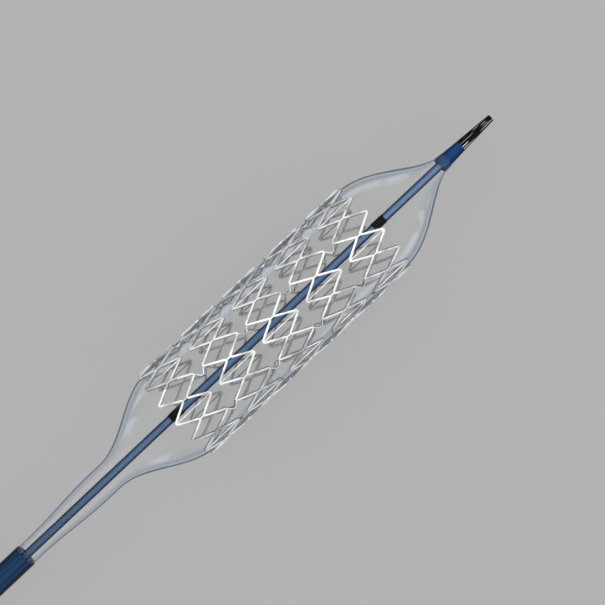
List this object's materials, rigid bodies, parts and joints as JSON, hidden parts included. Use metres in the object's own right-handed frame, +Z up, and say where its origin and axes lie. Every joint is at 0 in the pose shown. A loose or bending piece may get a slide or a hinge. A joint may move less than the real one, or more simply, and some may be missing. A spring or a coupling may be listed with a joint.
{
  "type": "vascular stent on balloon catheter",
  "caption": "Expanded metal lattice stent seated on a clear inflated balloon at the tip of a blue delivery catheter, with dark marker bands, a tapered sleeve and a black tip.",
  "frame": {"origin": "on the catheter's axis at the middle of the stent", "axes": "+X along the axis towards the soft tip, +Z up with the assembly lying on its side"},
  "size_m": [0.0504, 0.0074, 0.0074],
  "materials": {
    "stent_metal": "electropolished",
    "balloon_film": "clear",
    "guidewire_tube_blue": "satin",
    "catheter_shaft_blue": "satin",
    "marker_black": "matt",
    "sleeve_blue": "satin",
    "tip_black": "gloss"
  },
  "bodies": {
    "root": {"stent": "stent_metal", "inflated_balloon": "balloon_film", "guidewire_tube": "guidewire_tube_blue", "catheter_shaft": "catheter_shaft_blue", "marker_band_proximal": "marker_black", "marker_band_distal": "marker_black", "neck_sleeve": "sleeve_blue", "soft_tip": "tip_black"}
  },
  "joints": []
}
